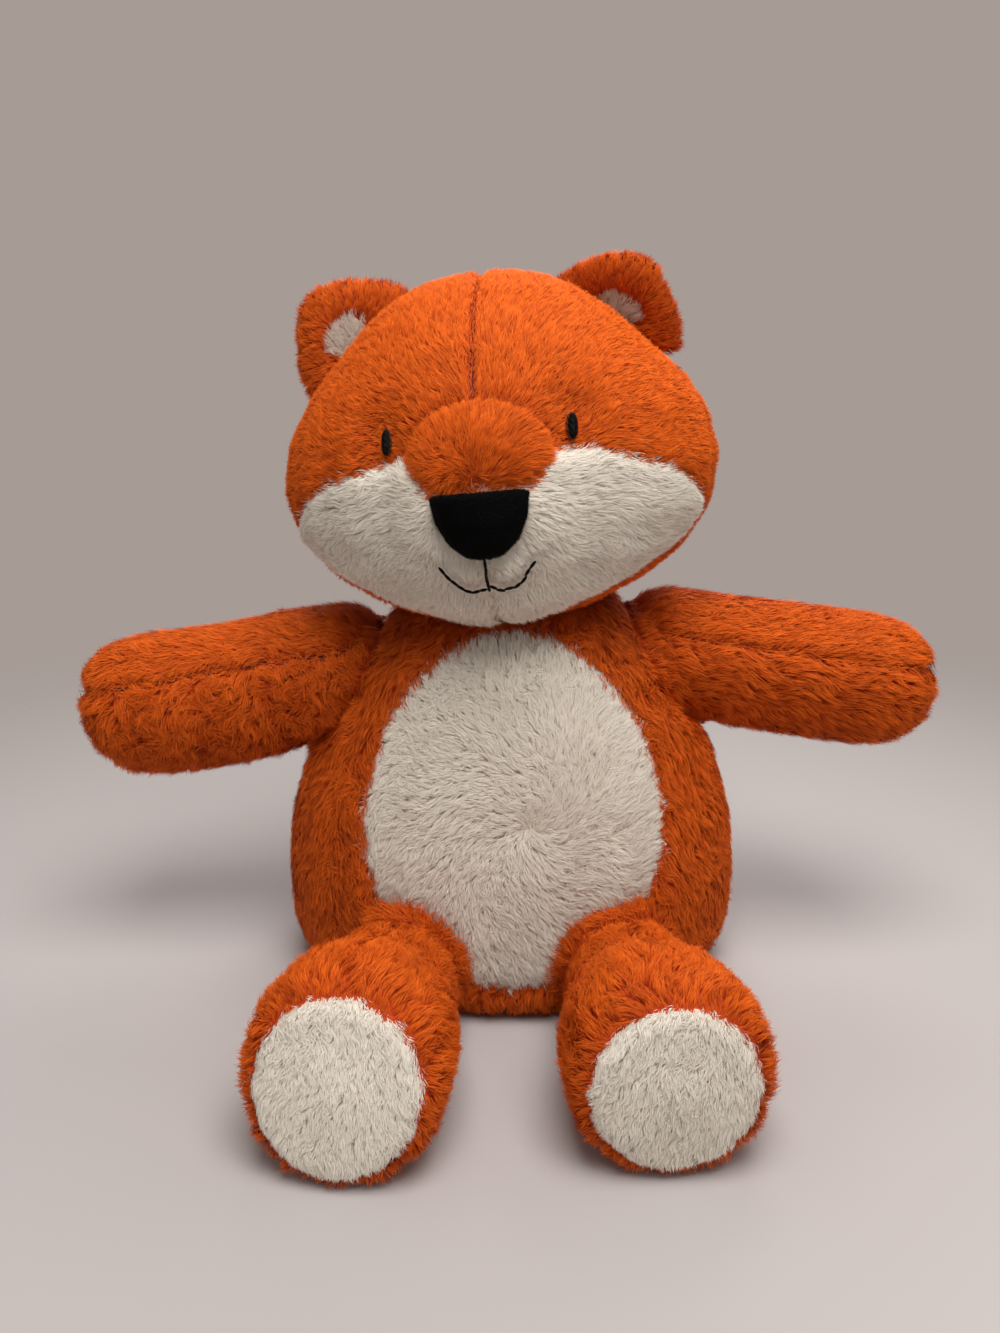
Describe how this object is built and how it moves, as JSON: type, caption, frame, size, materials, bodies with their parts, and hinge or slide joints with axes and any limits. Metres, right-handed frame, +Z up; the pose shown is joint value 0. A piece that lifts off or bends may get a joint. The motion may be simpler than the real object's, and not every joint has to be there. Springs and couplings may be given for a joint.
{
  "type": "plush fox",
  "caption": "Seated plush fox with a stuffed body, turning head, ears, arms, legs and tail, and a flat bean-weighted seat.",
  "frame": {"origin": "middle of the flat seat, on the surface that the fox sits on", "axes": "+Z up from the seat, -Y towards the face and feet, +X towards the fox's own left arm"},
  "size_m": [0.2606, 0.2553, 0.2111],
  "materials": {
    "orange_plush": "short soft pile, matte",
    "white_plush": "short curly pile, matte",
    "black_velour": "close velour, matte",
    "black_thread": "satin stitch, slight sheen",
    "polyester_fibre": "loose fibre",
    "pouch_cloth": "plain woven"
  },
  "bodies": {
    "body": {"body_front_panel": "orange_plush", "belly_panel": "white_plush", "body_back_left_panel": "orange_plush", "body_back_right_panel": "orange_plush", "body_stuffing": "polyester_fibre", "seat_bean_pouch": "pouch_cloth"},
    "head": {"crown_left_panel": "orange_plush", "crown_right_panel": "orange_plush", "head_back_left_panel": "orange_plush", "head_back_right_panel": "orange_plush", "muzzle_top_panel": "orange_plush", "cheek_left_panel": "white_plush", "cheek_right_panel": "white_plush", "nose": "black_velour", "eye_left": "black_thread", "eye_right": "black_thread", "mouth_center_stitch": "black_thread", "mouth_left_stitch": "black_thread", "mouth_right_stitch": "black_thread", "head_stuffing": "polyester_fibre"},
    "ear_left": {"ear_left_outer": "orange_plush", "ear_left_inner": "white_plush"},
    "ear_right": {"ear_right_outer": "orange_plush", "ear_right_inner": "white_plush"},
    "arm_left": {"arm_left_upper_panel": "orange_plush", "arm_left_lower_panel": "orange_plush", "arm_left_stuffing": "polyester_fibre"},
    "arm_right": {"arm_right_upper_panel": "orange_plush", "arm_right_lower_panel": "orange_plush", "arm_right_stuffing": "polyester_fibre"},
    "leg_left": {"leg_left_inner_panel": "orange_plush", "leg_left_outer_panel": "orange_plush", "leg_left_sole_pad": "white_plush", "leg_left_stuffing": "polyester_fibre"},
    "leg_right": {"leg_right_inner_panel": "orange_plush", "leg_right_outer_panel": "orange_plush", "leg_right_sole_pad": "white_plush", "leg_right_stuffing": "polyester_fibre"},
    "tail": {"tail_base": "orange_plush", "tail_tip": "white_plush", "tail_stuffing": "polyester_fibre"}
  },
  "joints": [
    {"name": "neck_nod", "type": "hinge", "parent": "body", "child": "head", "pos_m": [0, 0.002, 0.085], "axis": [0.9907, -0.1041, 0.0872], "range_deg": [-18, 12], "stiffness_Nm_per_rad": 0.25},
    {"name": "ear_left_fold", "type": "hinge", "parent": "head", "child": "ear_left", "pos_m": [0.0285, -0.01256, 0.19564], "axis": [0.8939, -0.094, -0.4384], "range_deg": [-20, 20], "stiffness_Nm_per_rad": 0.01},
    {"name": "ear_right_fold", "type": "hinge", "parent": "head", "child": "ear_right", "pos_m": [-0.04343, -0.005, 0.18785], "axis": [0.6783, -0.0713, 0.7314], "range_deg": [-20, 20], "stiffness_Nm_per_rad": 0.01},
    {"name": "arm_left_swing", "type": "hinge", "parent": "body", "child": "arm_left", "pos_m": [0.04912, 0, 0.098], "axis": [0.1392, 0, 0.9903], "range_deg": [-45, 25], "stiffness_Nm_per_rad": 0.03},
    {"name": "arm_right_swing", "type": "hinge", "parent": "body", "child": "arm_right", "pos_m": [-0.05235, 0, 0.093], "axis": [-0.1736, 0, 0.9848], "range_deg": [-25, 45], "stiffness_Nm_per_rad": 0.03},
    {"name": "leg_left_raise", "type": "hinge", "parent": "body", "child": "leg_left", "pos_m": [0.03202, -0.05034, 0.0165], "axis": [0.9981, 0.061, 0], "range_deg": [-25, 30], "stiffness_Nm_per_rad": 0.05},
    {"name": "leg_right_raise", "type": "hinge", "parent": "body", "child": "leg_right", "pos_m": [-0.03202, -0.05034, 0.0165], "axis": [0.9914, -0.1305, 0], "range_deg": [-25, 30], "stiffness_Nm_per_rad": 0.05},
    {"name": "tail_wag", "type": "hinge", "parent": "body", "child": "tail", "pos_m": [0, 0.05304, 0.0175], "axis": [0, 0, 1], "range_deg": [-35, 35], "stiffness_Nm_per_rad": 0.03}
  ]
}
